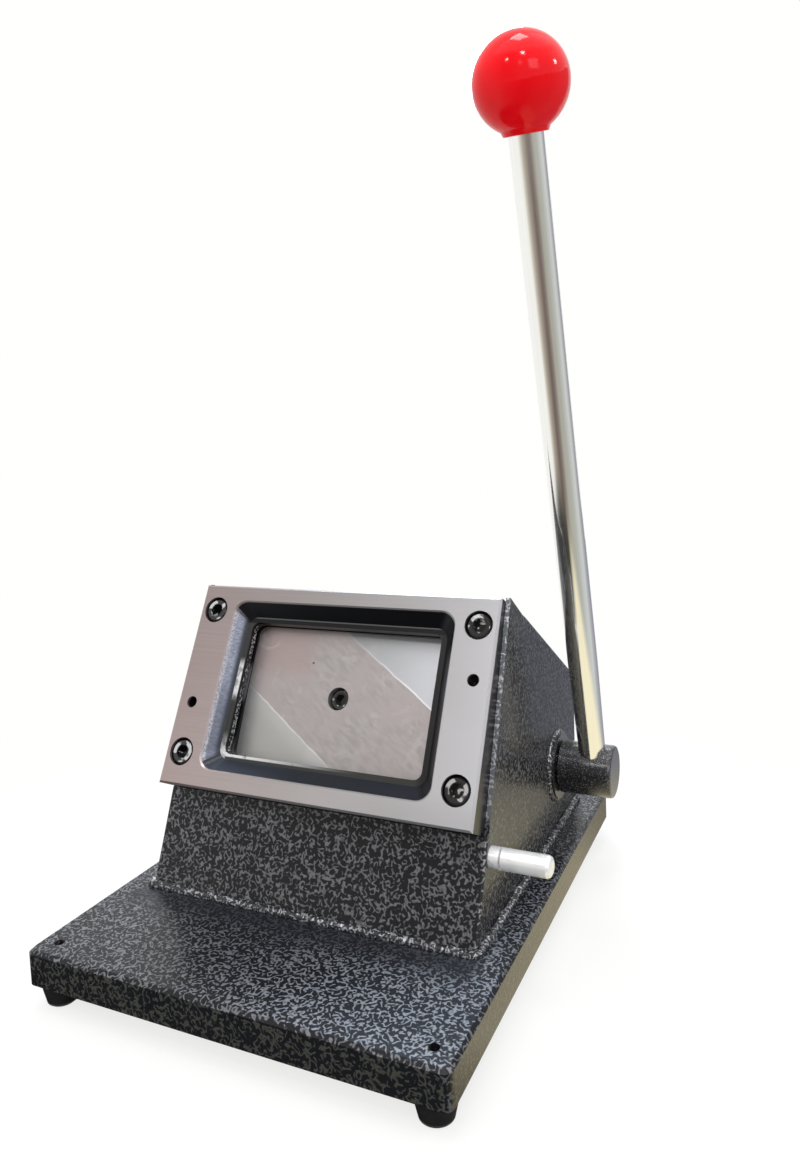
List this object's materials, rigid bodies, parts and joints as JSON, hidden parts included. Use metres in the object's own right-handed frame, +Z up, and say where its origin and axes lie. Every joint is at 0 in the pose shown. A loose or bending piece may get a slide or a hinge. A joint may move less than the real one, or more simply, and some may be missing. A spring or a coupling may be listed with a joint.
{
  "type": "manual card die cutter",
  "caption": "Hand lever die cutter: a tilted die plate with a card-shaped window on a welded wedge housing and base plate, cut by a punch that a long side lever drives forward.",
  "frame": {"origin": "Middle of the bounding box at rest, on the table under the feet.", "axes": "X to the side with the lever, Y to the rear, Z up. The die plate faces -Y and leans back."},
  "size_m": [0.1806, 0.204, 0.3225],
  "materials": {
    "hammertone": "hammered grey-black enamel",
    "die_steel": "ground die steel",
    "steel": "plain machined steel",
    "black_steel": "blackened steel screws",
    "chrome": "bright plated",
    "zinc": "zinc plated",
    "bronze": "bearing bronze",
    "brass": "turned brass",
    "red_plastic": "glossy red",
    "rubber": "matt black"
  },
  "bodies": {
    "frame": {"base_plate": "hammertone", "foot_front_left": "rubber", "foot_front_right": "rubber", "foot_rear_left": "rubber", "foot_rear_right": "rubber", "foot_screws": "zinc", "side_wall_left": "hammertone", "side_wall_right": "hammertone", "front_panel": "hammertone", "roof_panel": "hammertone", "rear_cover": "hammertone", "cover_lugs": "steel", "cover_screws": "zinc", "weld_bead": "hammertone", "die_plate": "die_steel", "die_screws": "black_steel", "dowel_pins": "steel", "card_guide_left": "die_steel", "card_guide_right": "die_steel", "guide_plate": "die_steel", "mounting_block_left": "steel", "mounting_block_right": "steel", "bridge_plate": "steel", "bridge_screws": "black_steel", "ram_bush": "bronze", "bush_left": "bronze", "bush_right": "bronze", "boss_left": "hammertone", "boss_right": "hammertone", "stop_pin": "chrome", "stop_block": "steel", "tie_bar": "zinc", "return_spring": "zinc"},
    "lever": {"cross_shaft": "steel", "drive_cam": "steel", "cam_key": "steel", "shaft_collar": "steel", "return_crank": "steel", "crank_pin": "zinc", "set_screws": "black_steel", "lever_hub": "hammertone", "lever_rod": "chrome", "ball_knob": "red_plastic", "knob_insert": "brass"},
    "ram": {"punch": "die_steel", "punch_screw": "black_steel", "punch_dowels": "steel", "ram_shaft": "steel", "ram_clevis": "steel", "clevis_cross_pin": "steel", "roller_pin": "steel"},
    "roller": {"cam_roller": "steel"}
  },
  "joints": [
    {"name": "lever_swing", "type": "hinge", "parent": "frame", "child": "lever", "pos_m": [-0.01027, 0.05653, 0.04852], "axis": [1, 0, 0], "range_deg": [0, 66.4], "stiffness_Nm_per_rad": 0.6, "springref_deg": -34.38, "deforming": ["return_spring"]},
    {"name": "ram_slide", "type": "slide", "parent": "frame", "child": "ram", "axis": [0, -0.8813, 0.4726], "range_m": [0, 0.009]},
    {"name": "roller_spin", "type": "hinge", "parent": "ram", "child": "roller", "pos_m": [-0.01027, 0.04154, 0.05655], "axis": [1, 0, 0], "continuous": true}
  ],
  "couplings": [
    {"joint": "ram_slide", "follows": "lever_swing", "m_per_rad": 0.007766}
  ]
}
